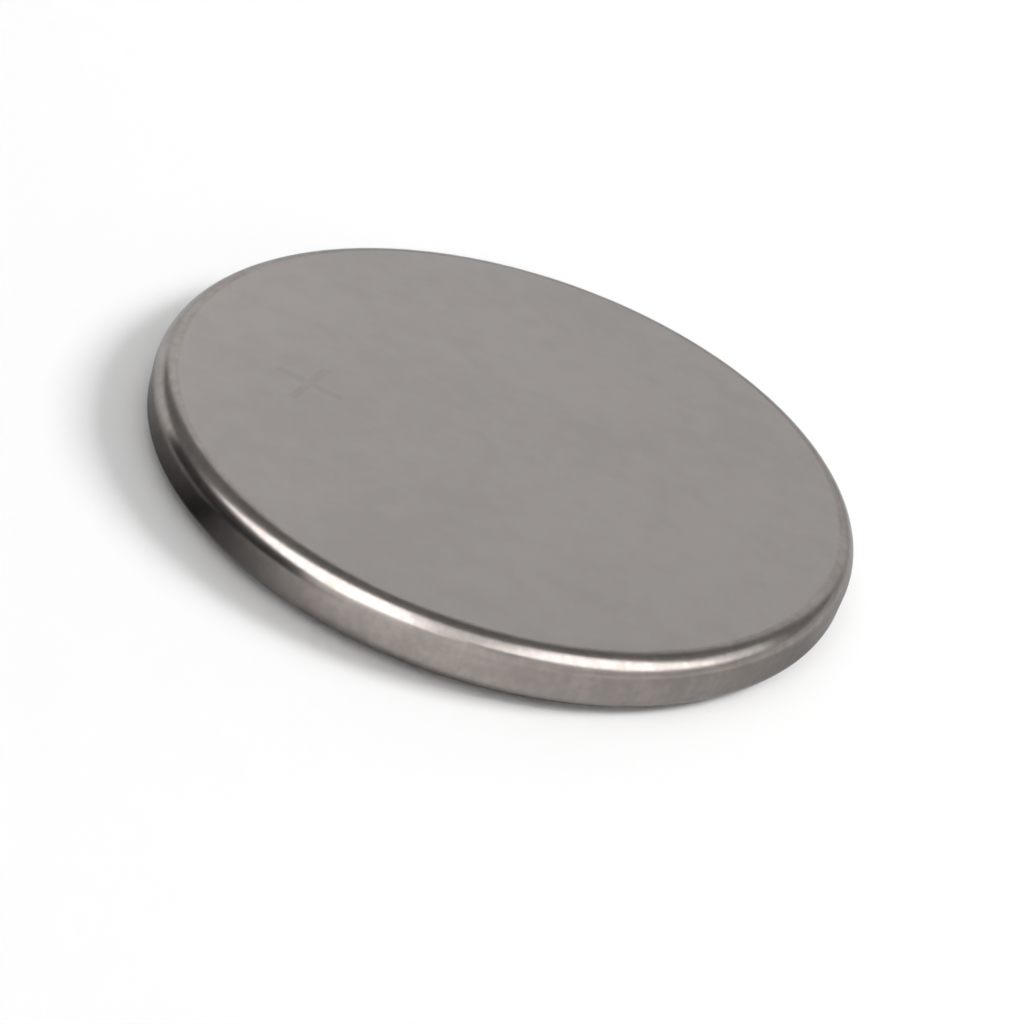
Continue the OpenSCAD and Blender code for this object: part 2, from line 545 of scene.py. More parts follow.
class SheetGrain(EffectGroup):
    """Satin grain of rolled sheet: fine specks, and faint lines along one direction.

    Attributes:
        drawn_out: Share on each axis by which places are multiplied to draw specks out into lines.
    """

    name = "sheet_grain"
    inputs = {
        "Place": (Kind.PLACE, None),
        "Specks per mm": (Kind.NUMBER, 8.0),
        "Line share": (Kind.NUMBER, 0.5),
    }
    outputs = {"Grain": Kind.NUMBER}
    drawn_out = (0.04, 1.0, 1.0)

    @classmethod
    def wire(cls, nodes: Nodes, given: bpy.types.NodeOutputs) -> dict[str, bpy.types.NodeSocket]:
        """Adds the specks and the drawn-out lines, and mixes them.

        Args:
            nodes: The group's tree.
            given: The group's inputs.

        Returns:
            The grain, from 0 to 1.
        """
        place, per_mm = given["Place"], given["Specks per mm"]
        specks = nodes.noise(place, per_mm, detail=3.0, roughness=0.6)
        lines = nodes.noise(nodes.scaled(place, cls.drawn_out), per_mm, detail=2.0)
        return {"Grain": nodes.blend(given["Line share"], specks, lines)}


class DrawLines(EffectGroup):
    """Faint upright lines that deep drawing leaves on a wall: noise that barely changes with height.

    Attributes:
        squash: Share on each axis by which places are multiplied.
    """

    name = "draw_lines"
    inputs = {"Place": (Kind.PLACE, None), "Lines per mm": (Kind.NUMBER, 3.0)}
    outputs = {"Lines": Kind.NUMBER}
    squash = (1.0, 1.0, 0.05)

    @classmethod
    def wire(cls, nodes: Nodes, given: bpy.types.NodeOutputs) -> dict[str, bpy.types.NodeSocket]:
        """Squashes the height before it reads the noise."""
        flat = nodes.scaled(given["Place"], cls.squash)
        return {"Lines": nodes.noise(flat, given["Lines per mm"], detail=3.0)}


class RimMask(EffectGroup):
    """One outside a radius about the axis, zero inside it, with a soft edge."""

    name = "rim_mask"
    inputs = {
        "Place": (Kind.PLACE, None),
        "Radius": (Kind.NUMBER, 9.0),
        "Softness": (Kind.NUMBER, 0.1),
    }
    outputs = {"Mask": Kind.NUMBER}

    @classmethod
    def wire(cls, nodes: Nodes, given: bpy.types.NodeOutputs) -> dict[str, bpy.types.NodeSocket]:
        """Compares the distance from the axis with the radius.

        Args:
            nodes: The group's tree.
            given: The group's inputs.

        Returns:
            The mask.
        """
        flat = nodes.scaled(given["Place"], (1.0, 1.0, 0.0))
        distance = nodes.add("ShaderNodeVectorMath", {0: flat}, operation="LENGTH").outputs["Value"]
        past = nodes.math("SUBTRACT", distance, given["Radius"])
        return {"Mask": nodes.span(nodes.math("DIVIDE", past, given["Softness"]), -1.0, 1.0)}


class EdgeWear(EffectGroup):
    """Brighter, smoother metal along an edge: near a given radius and height, broken up by noise.

    Attributes:
        patches_per_mm: How closely the worn patches lie.
        contrast: Values of the noise between which a patch goes from sound to worn.
    """

    name = "edge_wear"
    inputs = {
        "Place": (Kind.PLACE, None),
        "Radius": (Kind.NUMBER, 9.0),
        "Height": (Kind.NUMBER, 0.0),
        "Reach": (Kind.NUMBER, 0.2),
    }
    outputs = {"Wear": Kind.NUMBER}
    patches_per_mm = 1.5
    contrast = (0.4, 0.65)

    @classmethod
    def wire(cls, nodes: Nodes, given: bpy.types.NodeOutputs) -> dict[str, bpy.types.NodeSocket]:
        """Takes the distance from the edge in the section, and thins it with noise.

        Args:
            nodes: The group's tree.
            given: The group's inputs.

        Returns:
            The wear, from 0 to 1.
        """
        x, y, z = nodes.add("ShaderNodeSeparateXYZ", {0: given["Place"]}).outputs
        across = nodes.math("SUBTRACT", nodes.length(x, y), given["Radius"])
        up = nodes.math("SUBTRACT", z, given["Height"])
        near = nodes.span(nodes.math("DIVIDE", nodes.length(across, up), given["Reach"]), 0.0, 1.0, 1.0, 0.0)
        patches = nodes.noise(given["Place"], cls.patches_per_mm, detail=4.0, roughness=0.6)
        return {"Wear": nodes.times(near, nodes.span(patches, *cls.contrast))}


# ---------------------------------------------------------------- finishes


def rgba(colour: Colour, factor: float = 1.0) -> tuple[float, float, float, float]:
    """A colour times a factor, with full opacity."""
    return (*(min(1.0, channel * factor) for channel in colour), 1.0)


@dataclass(frozen=True)
class Draft:
    """A material in the making.

    Attributes:
        material: The material.
        nodes: Its nodes.
        shader: Its Principled shader.
        place: Places in millimetres.
        tone: The finish's cloudy colour.
    """

    material: bpy.types.Material
    nodes: Nodes
    shader: bpy.types.Node
    place: bpy.types.NodeSocket
    tone: bpy.types.NodeSocket

    def dressed(
        self, colour: bpy.types.NodeSocket, roughness: bpy.types.NodeSocket, height: bpy.types.NodeSocket,
        depth: float,
    ) -> bpy.types.Material:
        """Feeds the shader, with the height as a bump.

        Args:
            colour: Colour.
            roughness: Roughness.
            height: Height from 0 to 1.
            depth: How many millimetres 1 stands for.

        Returns:
            The material.
        """
        bump = self.nodes.add("ShaderNodeBump", {"Height": height, "Distance": depth * MM, "Strength": 1.0})
        for key, value in (("Base Color", colour), ("Roughness", roughness), ("Normal", bump.outputs[0])):
            self.nodes.feed(self.shader.inputs[key], value)
        return self.material


@dataclass(frozen=True)
class Finish:
    """What every finish has.

    Attributes:
        name: Name of the material.
        colour: Mean colour, linear.
        variation: How far patches go above and below the colour, as a share.
        patches_per_mm: How closely the patches lie.
    """

    name: str
    colour: Colour
    variation: float
    patches_per_mm: float

    def start(self, **constants: float | tuple[float, ...]) -> Draft:
        """Makes the material.

        Args:
            constants: What the shader's own sockets are set to, with _ for each space in their names.

        Returns:
            The material in the making.
        """
        material = bpy.data.materials.new(self.name)
        material.use_nodes = True
        nodes = Nodes(material.node_tree)
        shader = material.node_tree.nodes["Principled BSDF"]
        for key, value in constants.items():
            shader.inputs[key.replace("_", " ")].default_value = value
        place = nodes.local(nodes.object_place(), (MM, MM, MM))
        tone = Mottle.around(nodes, place, self.colour, self.variation, self.patches_per_mm)
        return Draft(material, nodes, shader, place, tone)

    def build(self) -> bpy.types.Material:
        """Makes the whole material."""
        raise NotImplementedError


@dataclass(frozen=True)
class PlusMark:
    """A plus sign etched in a face, for the positive pole.

    Attributes:
        centre: Its place on the face.
        arm: Half its length.
        half_width: Half the width of its strokes.
        turn: Its angle in degrees.
        tone: How much darker it is, as a share.
        roughness: How much rougher it is.
        depth: How deep it is, as a multiple of the grain's depth.
        softness: Softness of its edges, as a share of half_width.
        fade: Distances from the face between which it ends.
    """

    centre: Triple
    arm: float = 1.0
    half_width: float = 0.13
    turn: float = -14.0
    tone: float = 0.04
    roughness: float = 0.03
    depth: float = 2.0
    softness: float = 0.3
    fade: tuple[float, float] = (0.02, 0.05)

    def mask(self, nodes: Nodes) -> bpy.types.NodeSocket:
        """One inside the two strokes and zero outside them.

        Args:
            nodes: The material's nodes.

        Returns:
            The mask.
        """
        centre = tuple(MM * size for size in self.centre)
        local = nodes.local(nodes.object_place(), (MM, MM, MM), centre, self.turn)
        split = tuple(nodes.add("ShaderNodeSeparateXYZ", {0: local}).outputs)
        x, y, z = (nodes.math("ABSOLUTE", axis) for axis in split)
        soft = self.softness * self.half_width
        strokes = []
        for along, across in ((x, y), (y, x)):
            ends = nodes.span(along, self.arm - soft, self.arm + soft, 1.0, 0.0)
            sides = nodes.span(across, self.half_width - soft, self.half_width + soft, 1.0, 0.0)
            strokes.append(nodes.times(ends, sides))
        return nodes.times(nodes.math("MAXIMUM", *strokes), nodes.span(z, *self.fade, 1.0, 0.0))


@dataclass(frozen=True)
class SteelFinish(Finish):
    """Satin steel sheet, polished where the tools drew and rolled it.

    Attributes:
        satin: Roughness of the flat.
        grain: How far the grain changes it.
        grain_depth: Depth of the grain.
        line_share: Share of rolling lines in the grain.
        polish_from: Radius where the polish starts.
        polish_edge: How softly it starts.
        polish: Roughness of the polished part.
        draw_grain: How far the draw lines change it.
        polished_depth: Share of the grain's depth that is left there.
        drawn_tone_and_shade: Colour of the polished part, as a share of the flat's in each channel. Its
            darkening is partly the drawn metal's own tone and partly painted shade for the darker
            surroundings that the corner and wall mirror.
        edge_tint: Share of light that the steel still mirrors where it is seen edge on.
        smudges_per_mm: How closely the smudges from handling lie on the polished part.
        smudging: How far they change its tone, as a share.
        line_contrast: Values of the draw lines between which they go from nothing to full.
        line_strength: How much of their tone they bring.
        line_tone: Their tone, as a share of the polished part's.
        worn_edge: Radius and height of the edge that handling wears.
        wear_reach: How far the wear reaches from it.
        wear_strength: How much of its tone it brings.
        wear_tone: Its tone, as a share of the flat's.
        wear_polish: How much smoother it is.
        mark: The plus sign, if there is one.
    """

    satin: float = 0.36
    grain: float = 0.06
    grain_depth: float = 0.0006
    line_share: float = 0.35
    polish_from: float = 9.4
    polish_edge: float = 0.06
    polish: float = 0.25
    draw_grain: float = 0.04
    polished_depth: float = 0.25
    drawn_tone_and_shade: Colour = (0.85, 0.825, 0.81)
    edge_tint: float = 0.7
    smudges_per_mm: float = 0.9
    smudging: float = 0.1
    line_contrast: tuple[float, float] = (0.35, 0.65)
    line_strength: float = 0.35
    line_tone: float = 0.85
    worn_edge: tuple[float, float] = (10.0, 1.6)
    wear_reach: float = 0.35
    wear_strength: float = 0.3
    wear_tone: float = 1.15
    wear_polish: float = 0.04
    mark: PlusMark | None = None

    def build(self) -> bpy.types.Material:
        """Makes the steel: tone from mottle and draw lines, roughness from grain, polish and wear.

        Returns:
            The material.
        """
        draft = self.start(Metallic=1.0, Specular_Tint=rgba((1, 1, 1), self.edge_tint))
        nodes, place = draft.nodes, draft.place
        given = {"Place": place, "Radius": self.polish_from, "Softness": self.polish_edge}
        rim = RimMask.placed(nodes, given)
        grain = SheetGrain.placed(nodes, {"Place": place, "Line share": self.line_share})
        lines = DrawLines.placed(nodes, {"Place": place})
        radius, edge_z = self.worn_edge
        given = {"Place": place, "Radius": radius, "Height": edge_z, "Reach": self.wear_reach}
        wear = EdgeWear.placed(nodes, given)

        # partly painted shade: the polished corner and wall take a darker colour than the flat, for the
        # darker surroundings that they mirror
        drawn_colour_and_shade = tuple(channel * share for channel, share in zip(self.colour, self.drawn_tone_and_shade))
        handled = Mottle.around(nodes, place, drawn_colour_and_shade, self.smudging, self.smudges_per_mm)
        colour = nodes.mix(rim, draft.tone, handled)
        drawn = nodes.times(rim, nodes.span(lines, *self.line_contrast))
        colour = nodes.mix(nodes.times(drawn, self.line_strength), colour, rgba(drawn_colour_and_shade, self.line_tone))
        colour = nodes.mix(nodes.times(wear, self.wear_strength), colour, rgba(self.colour, self.wear_tone))

        flat = nodes.line(grain, 2 * self.grain, self.satin - self.grain)
        rough = nodes.blend(rim, flat, nodes.line(lines, 2 * self.draw_grain, self.polish - self.draw_grain))
        rough = nodes.line(wear, -self.wear_polish, rough)
        height = nodes.times(grain, nodes.span(rim, 0.0, 1.0, 1.0, self.polished_depth))
        if self.mark is not None:
            mask = self.mark.mask(nodes)
            colour = nodes.mix(nodes.times(mask, self.mark.tone), colour, rgba((0, 0, 0)))
            rough = nodes.line(mask, self.mark.roughness, rough)
            height = nodes.line(mask, -self.mark.depth, height)
        return draft.dressed(colour, rough, height, self.grain_depth)


@dataclass(frozen=True)
class PlasticFinish(Finish):
    """Moulded polypropylene with a thin, uneven smear of dark sealant.

    Attributes:
        roughness: Roughness of the plastic.
        texture: How far its fine texture changes that.
        texture_per_mm: How closely the texture's lumps lie.
        depth: Depth of the texture.
        sealant: Colour of the sealant.
        smears_per_mm: How closely its smears lie.
        smear_edge: Values of the noise between which a smear starts.
        smear_strength: How much of its colour it brings.
        smear_polish: How much smoother it is.
        smear_height: How high it stands, as a share of the texture's depth.
    """

    roughness: float = 0.45
    texture: float = 0.05
    texture_per_mm: float = 14.0
    depth: float = 0.002
    sealant: Colour = (0.03, 0.03, 0.035)
    smears_per_mm: float = 0.9
    smear_edge: tuple[float, float] = (0.48, 0.62)
    smear_strength: float = 0.8
    smear_polish: float = 0.15
    smear_height: float = 0.6

    def build(self) -> bpy.types.Material:
        """Makes the plastic: sealant in patches, smoother where it lies.

        Returns:
            The material.
        """
        draft = self.start()
        nodes, place = draft.nodes, draft.place
        smears = nodes.noise(place, self.smears_per_mm, detail=4.0, roughness=0.6)
        smear = nodes.span(smears, *self.smear_edge)
        texture = nodes.noise(place, self.texture_per_mm)
        colour = nodes.mix(nodes.times(smear, self.smear_strength), draft.tone, rgba(self.sealant))
        rough = nodes.line(texture, 2 * self.texture, self.roughness - self.texture)
        rough = nodes.line(smear, -self.smear_polish, rough)
        return draft.dressed(colour, rough, nodes.line(smear, self.smear_height, texture), self.depth)


@dataclass(frozen=True)
class FoilFinish(Finish):
    """Soft lithium foil, dull, with rolling lines and a thin tarnish.

    Attributes:
        roughness: Roughness of the clean foil.
        grain: How far the grain changes it.
        grain_per_mm: How closely the grain's specks lie.
        line_share: Share of rolling lines in the grain.
        depth: Depth of the grain.
        tarnish: Colour of the tarnish.
        tarnish_per_mm: How closely its patches lie.
        tarnish_edge: Values of the noise between which a patch starts.
        tarnish_strength: How much of its colour it brings.
        dulling: How much rougher it is.
    """

    roughness: float = 0.42
    grain: float = 0.1
    grain_per_mm: float = 5.0
    line_share: float = 0.8
    depth: float = 0.002
    tarnish: Colour = (0.32, 0.33, 0.36)
    tarnish_per_mm: float = 0.25
    tarnish_edge: tuple[float, float] = (0.42, 0.7)
    tarnish_strength: float = 0.6
    dulling: float = 0.2

    def build(self) -> bpy.types.Material:
        """Makes the foil: tarnish in soft patches, rougher where it lies.

        Returns:
            The material.
        """
        draft = self.start(Metallic=1.0)
        nodes, place = draft.nodes, draft.place
        given = {"Place": place, "Specks per mm": self.grain_per_mm, "Line share": self.line_share}
        grain = SheetGrain.placed(nodes, given)
        patches = nodes.noise(place, self.tarnish_per_mm, detail=4.0, roughness=0.6)
        dull = nodes.span(patches, *self.tarnish_edge)
        colour = nodes.mix(nodes.times(dull, self.tarnish_strength), draft.tone, rgba(self.tarnish))
        rough = nodes.line(grain, 2 * self.grain, self.roughness - self.grain)
        return draft.dressed(colour, nodes.line(dull, self.dulling, rough), grain, self.depth)


@dataclass(frozen=True)
class FleeceFinish(Finish):
    """Non-woven fleece: fine crossed fibres pressed flat.

    Attributes:
        fibres_per_mm: How closely the fibres lie.
        slenderness: How many times longer than wide they are.
        turns: Directions of the sets of fibres, in degrees.
        fibre_edge: Values of the noise between which a fibre starts.
        gap_shade: Painted shade between the fibres, as a share of the colour.
        gap_rough: Roughness between the fibres.
        fibre_rough: Roughness of the fibres.
        depth: How far the fibres stand out.
    """

    fibres_per_mm: float = 6.0
    slenderness: float = 12.0
    turns: tuple[float, ...] = (10.0, 68.0, 131.0)
    fibre_edge: tuple[float, float] = (0.5, 0.72)
    gap_shade: float = 0.78
    gap_rough: float = 0.95
    fibre_rough: float = 0.8
    depth: float = 0.01

    def build(self) -> bpy.types.Material:
        """Makes the fleece: sets of drawn-out noise at different angles, the highest on top.

        Returns:
            The material.
        """
        draft = self.start()
        nodes = draft.nodes
        drawn = [nodes.local(draft.place, (self.slenderness, 1.0, 1.0), turn=turn) for turn in self.turns]
        top, *others = [nodes.noise(place, self.fibres_per_mm) for place in drawn]
        for fibre in others:
            top = nodes.math("MAXIMUM", top, fibre)
        fibres = nodes.span(top, *self.fibre_edge)
        # painted shade: darker between the fibres, where they lie lower
        colour = nodes.mix(fibres, rgba(self.colour, self.gap_shade), draft.tone)
        rough = nodes.span(fibres, 0.0, 1.0, self.gap_rough, self.fibre_rough)
        return draft.dressed(colour, rough, fibres, self.depth)


@dataclass(frozen=True)
class PowderFinish(Finish):
    """Pressed powder: grains with painted shade at their edges, and a smooth skin between small pits with
    painted shade in them.

    Attributes:
        roughness: Least roughness of the pressed skin.
        grain_rough: How much rougher the grains' edges are.
        grains_per_mm: How closely the grains lie.
        grain_edge: Distances from a grain's middle between which its tone changes.
        grain_edge_shade: Painted shade at its edge, as a share of the colour.
        pits_per_mm: How closely the pits lie.
        pit_edge: Values of the noise between which a pit ends.
        pit_shade: Painted shade in a pit, as a share of the colour.
        grain_height: How far a grain's edge lies below its middle, as a share of depth.
        depth: Depth of a pit.
    """

    roughness: float = 0.7
    grain_rough: float = 0.15
    grains_per_mm: float = 9.0
    grain_edge: tuple[float, float] = (0.1, 0.6)
    grain_edge_shade: float = 0.6
    pits_per_mm: float = 3.0
    pit_edge: tuple[float, float] = (0.3, 0.42)
    pit_shade: float = 0.4
    grain_height: float = 0.3
    depth: float = 0.008

    def build(self) -> bpy.types.Material:
        """Makes the powder: cells for the grains, and noise for the pits.

        Returns:
            The material.
        """
        draft = self.start()
        nodes, place = draft.nodes, draft.place
        grains = nodes.add("ShaderNodeTexVoronoi", {"Vector": place, "Scale": self.grains_per_mm}).outputs[0]
        pits = nodes.noise(place, self.pits_per_mm, detail=4.0, roughness=0.65)
        skin = nodes.span(pits, *self.pit_edge)
        shaded_grain_edges = nodes.span(grains, *self.grain_edge)
        # painted shade: darker at the grains' sunken edges and in the pits
        colour = nodes.mix(shaded_grain_edges, draft.tone, rgba(self.colour, self.grain_edge_shade))
        colour = nodes.mix(skin, rgba(self.colour, self.pit_shade), colour)
        rough = nodes.line(grains, self.grain_rough, self.roughness)
        return draft.dressed(colour, rough, nodes.line(grains, -self.grain_height, skin), self.depth)


# ---------------------------------------------------------------- pieces


@dataclass(frozen=True)
class NodeSize:
    """Radius and lowest and highest point of a turned CAD node, in millimetres."""

    radius: float
    low: float
    high: float

    @classmethod
    def of(cls, node: str) -> "NodeSize":
        """Reads the size of a node from the frame."""
        low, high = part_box(node)
        return cls(radius=high.x / MM, low=low.z / MM, high=high.z / MM)


@dataclass
class TurnedPiece:
    """A piece of the cell that is turned about the axis.

    Attributes:
        name: Name of the new piece.
        node: The CAD node that it stands for.
        slot: Its slot in the record. Not used.
        finish: Its finish.
        segments: Steps round the axis.
        edge_r: Radius of cut and moulded edges.
    """

    name: str
    node: str
    slot: Slot
    finish: Finish
    segments: int = 256
    edge_r: float = 0.02

    @property
    def size(self) -> NodeSize:
        """Size of the CAD node."""
        return NodeSize.of(self.node)

    def outline(self) -> np.ndarray:
        """Section of the piece, as radius and height."""
        raise NotImplementedError

    def inset(self, radius: np.ndarray, angle: np.ndarray, height: np.ndarray) -> np.ndarray:
        """How far each point lies inside the true turned form, which is zero unless the piece says more."""
        return np.zeros_like(radius)

    def relief(self, radius: np.ndarray, angle: np.ndarray, height: np.ndarray) -> np.ndarray:
        """Shift of each point from the true turned form.

        Args:
            radius: Distance from the axis.
            angle: Angle round the axis in radians.
            height: Height.

        Returns:
            The shift, as an array with a last axis of (dr, dz).
        """
        inset = self.inset(radius, angle, height)
        return np.stack([-inset, np.zeros_like(inset)], axis=-1)

    def build(self) -> bpy.types.Object:
        """Makes the piece's mesh, dresses it and puts it in its node's place.

        Returns:
            The piece.
        """
        made = turned(self.name, self.outline(), self.segments, self.relief)
        made.data.materials.append(self.finish.build())
        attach(made, "root")
        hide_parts(self.node)
        triangles = sum(len(face.vertices) - 2 for face in made.data.polygons)
        log.info("%s: %d triangles, finish %s", self.name, triangles, self.finish.name)
        return made


@dataclass
class Can(TurnedPiece):
    """Steel can: positive face, corner, side wall, and the rim rolled over the gasket.

    Attributes:
        thickness: Sheet thickness.
        corner_r: Outside radius between the face and the wall.
        crimp_r: Outside radius of the rolled rim.
        crimp_turn: Angle that the rim is rolled through.
        crimp_lip: Straight lip past the roll.
        wall_ripple: How far drawing leaves the wall out of round.
        ripples: How many times each of its waves repeats in a turn.
        seed: Seed of their phases.
    """

    thickness: float = 0.2
    corner_r: float = 0.6
    crimp_r: float = 0.4
    crimp_turn: float = 85.0
    crimp_lip: float = 0.45
    wall_ripple: float = 0.004
    ripples: tuple[int, ...] = (2, 3, 7, 11, 17)
    seed: int = 3

    @property
    def rolled_drop(self) -> float:
        """Height from the end of the straight wall down to the lowest point of the rim."""
        turn = math.radians(self.crimp_turn)
        return self.crimp_r * math.sin(turn) + self.crimp_lip * math.cos(turn)

    @property
    def wall_end_z(self) -> float:
        """Height at which the straight wall ends and the roll starts."""
        return self.size.low + self.rolled_drop

    @property
    def opening_r(self) -> float:
        """Radius of the opening that the rolled rim leaves, on its outer face.

        Returns:
            The radius.
        """
        turn = math.radians(self.crimp_turn)
        bend = (self.crimp_r - self.thickness) * math.cos(turn) - self.crimp_lip * math.sin(turn)
        return self.size.radius - self.crimp_r + bend

    @property
    def rim_edge_z(self) -> float:
        """Height of the rim's cut edge on its inner face."""
        return self.size.low + self.thickness * math.sin(math.radians(self.crimp_turn))

    def outline(self) -> np.ndarray:
        """Walks the sheet from the centre of the face, and turns it over.

        Returns:
            The section.
        """
        size = self.size
        wall = size.high - self.corner_r - self.wall_end_z
        steps = [
            Step(size.radius - self.corner_r, 90, self.corner_r - self.thickness, rings=10),
            Step(wall, self.crimp_turn, self.crimp_r - self.thickness, rings=3),
            Step(self.crimp_lip, rings=2),
        ]
        section = pressed((0, 0), steps, self.thickness, self.edge_r)
        return np.stack([section[:, 0], size.high - section[:, 1]], axis=-1)

    def inset(self, radius: np.ndarray, angle: np.ndarray, height: np.ndarray) -> np.ndarray:
        """The wall lies a few thousandths inside the true circle, in long soft waves."""
        near_wall = ramp(radius, self.size.radius - 2 * self.corner_r, self.size.radius)
        return self.wall_ripple * near_wall * waves(angle, self.ripples, self.seed)


@dataclass
class Cap(TurnedPiece):
    """Steel cap: negative contact, riser, shoulder, and the skirt that stands in the gasket.

    Attributes:
        thickness: Sheet thickness.
        slope: Angle of the riser.
        face_r: Inside radius between the contact and the riser.
        root_r: Inside radius between the riser and the shoulder.
        bend_r: Inside radius between the shoulder and the skirt.
        shoulder: Width of the flat shoulder.
        shoulder_z: Height of the shoulder's lower face.
    """

    thickness: float = 0.2
    slope: float = 50.0
    face_r: float = 0.25
    root_r: float = 0.3
    bend_r: float = 0.08
    shoulder: float = 0.68
    shoulder_z: float = 0.0

    @property
    def corner_r(self) -> float:
        """Outside radius between the shoulder and the skirt."""
        return self.bend_r + self.thickness

    @property
    def bends(self) -> float:
        """The two bends' radii along the sheet's lower face."""
        return self.face_r + self.thickness + self.root_r

    @property
    def riser(self) -> float:
        """Straight length of the riser, which brings the shoulder to its height."""
        slope = math.radians(self.slope)
        return (self.shoulder_z - self.bends * (1 - math.cos(slope))) / math.sin(slope)

    @property
    def contact_r(self) -> float:
        """Radius of the flat negative contact.

        Returns:
            The radius.
        """
        slope = math.radians(self.slope)
        across = self.bends * math.sin(slope) + self.riser * math.cos(slope)
        return self.size.radius - self.corner_r - self.shoulder - across

    def outline(self) -> np.ndarray:
        """Walks the sheet from the centre of the contact.

        Returns:
            The section.
        """
        skirt = self.size.high - self.shoulder_z - self.corner_r
        steps = [
            Step(self.contact_r, self.slope, self.face_r, rings=8),
            Step(self.riser, -self.slope, self.root_r),
            Step(self.shoulder, 90, self.bend_r, rings=2),
            Step(skirt, rings=3),
        ]
        return pressed((0, self.size.low), steps, self.thickness, self.edge_r)


@dataclass
class Gasket(TurnedPiece):
    """Moulded ring between the can and the cap, with a J-shaped section.

    Attributes:
        can: The can round it.
        cap: The cap in it.
        film: Film of sealant between it and the metal.
        lip: Thickness of the lip inside the skirt.
        lip_gap: Space between that lip and the bend of the cap's shoulder.
        show: Width of the ring that shows inside the rolled rim.
        bevel: Bevel on that ring.
        roll_step: Largest angle between two points beside the can's bends, in degrees.
        bend_step: The same beside the cap's bend.
    """

    can: Can | None = None
    cap: Cap | None = None
    film: float = 0.02
    lip: float = 0.2
    lip_gap: float = 0.1
    show: float = 0.24
    bevel: float = 0.04
    roll_step: float = 6.0
    bend_step: float = 10.0

    def outline(self) -> np.ndarray:
        """Goes round the section: showing end, roll, wall, foot, lip, skirt and shoulder.

        Each stretch that faces the metal runs one film off it, so its arcs share the
        centres of the metal's own bends.

        Returns:
            The section.
        """
        can, cap, film, size = self.can, self.cap, self.film, self.size
        turn = math.radians(can.crimp_turn)
        roll = np.array([can.size.radius - can.crimp_r, can.wall_end_z])
        corner = np.array([can.size.radius - can.corner_r, can.size.high - can.corner_r])
        roll_r, corner_r = can.crimp_r - can.thickness - film, can.corner_r - can.thickness - film
        lip_face = roll + roll_r * unit(-can.crimp_turn)
        cut_edge = lip_face - (can.crimp_lip + film) * np.array([math.sin(turn), math.cos(turn)])
        outer_r = can.opening_r - film
        inner_r = outer_r - self.show
        skirt_in, skirt_out = cap.size.radius - cap.thickness - film, cap.size.radius + film
        lip_r = skirt_in - self.lip
        lip_end = cap.shoulder_z + cap.corner_r + self.lip_gap
        bend = np.array([cap.size.radius - cap.corner_r, cap.shoulder_z + cap.corner_r])
        small = self.edge_r
        foot_z = cap.size.high + film
        showing = filleted(
            [(inner_r, cap.shoulder_z - film), (inner_r, size.low), (outer_r, size.low), cut_edge],
            [0, self.bevel, small, 0],
        )
        inside = filleted(
            [
                (lip_r, size.high), (lip_r, lip_end), (skirt_in, lip_end),
                (skirt_in, foot_z), (skirt_out, foot_z), (skirt_out, bend[1]),
            ],
            [small, small, small, 0, 0, 0],
        )
        return np.concatenate([
            showing,
            arc(roll, roll_r, -can.crimp_turn, 0, self.roll_step),
            arc(corner, corner_r, 0, 90, self.roll_step),
            inside,
            arc(bend, cap.corner_r + film, 0, -90, self.bend_step),
        ])


@dataclass
class LithiumDisc(TurnedPiece):
    """Anode: a disc of lithium foil pressed onto the cap.

    Attributes:
        unevenness: How far its stamped edge wanders inwards.
        reach: How far in from the edge that shows.
        ripples: How many times each of the edge's waves repeats in a turn.
        seed: Seed of their phases.
    """

    unevenness: float = 0.02
    reach: float = 0.3
    ripples: tuple[int, ...] = (5, 9, 23, 41)
    seed: int = 11

    def outline(self) -> np.ndarray:
        """A flat bar from the axis, with rounded edges.

        Returns:
            The section.
        """
        size = self.size
        corners = [(0, size.low), (size.radius, size.low), (size.radius, size.high), (0, size.high)]
        return filleted(corners, [0, self.edge_r, 2 * self.edge_r, 0])

    def inset(self, radius: np.ndarray, angle: np.ndarray, height: np.ndarray) -> np.ndarray:
        """The stamped edge of the soft foil is slightly uneven."""
        at_edge = ramp(radius, self.size.radius - self.reach, self.size.radius)
        return self.unevenness * at_edge * waves(angle, self.ripples, self.seed)


@dataclass
class Separator(TurnedPiece):
    """Fleece cup between the lithium and the pellet.

    Attributes:
        thickness: Thickness of the fleece.
        bend_r: Inside radius between its floor and its wall.
        pleats: How many small pleats its wall is gathered into.
        pleat_depth: How far the pleats reach inwards.
    """

    thickness: float = 0.12
    bend_r: float = 0.1
    pleats: int = 48
    pleat_depth: float = 0.012

    def outline(self) -> np.ndarray:
        """Walks the fleece from the centre of its floor.

        Returns:
            The section.
        """
        size = self.size
        bend = self.thickness + self.bend_r
        wall = size.high - size.low - bend
        steps = [Step(size.radius - bend, 90, self.bend_r, rings=6), Step(wall, rings=4)]
        return pressed((0, size.low), steps, self.thickness, self.edge_r)

    def inset(self, radius: np.ndarray, angle: np.ndarray, height: np.ndarray) -> np.ndarray:
        """The wall's pleats deepen towards its edge."""
        risen = ramp(height, self.size.low + self.thickness, self.size.high)
        return self.pleat_depth * risen * (0.5 + 0.5 * np.sin(self.pleats * angle))


@dataclass
class Ring(TurnedPiece):
    """Steel ring with an L-shaped section, which the pellet is pressed into.

    Attributes:
        thickness: Sheet thickness.
        foot: Width of the foot that bears on the can.
        bend_r: Inside radius between the foot and the wall.
    """

    thickness: float = 0.1
    foot: float = 1.3
    bend_r: float = 0.05

    @property
    def foot_r(self) -> float:
        """Radius of the foot's inner edge."""
        return self.size.radius - self.foot

    def outline(self) -> np.ndarray:
        """Walks the sheet from the foot's inner edge, and turns it over.

        Returns:
            The section.
        """
        size = self.size
        bend = self.thickness + self.bend_r
        wall = size.high - size.low - bend
        steps = [Step(self.foot - bend, 90, self.bend_r, rings=2), Step(wall, rings=2)]
        section = pressed((self.foot_r, 0), steps, self.thickness, self.edge_r)
        return np.stack([section[:, 0], size.high - section[:, 1]], axis=-1)


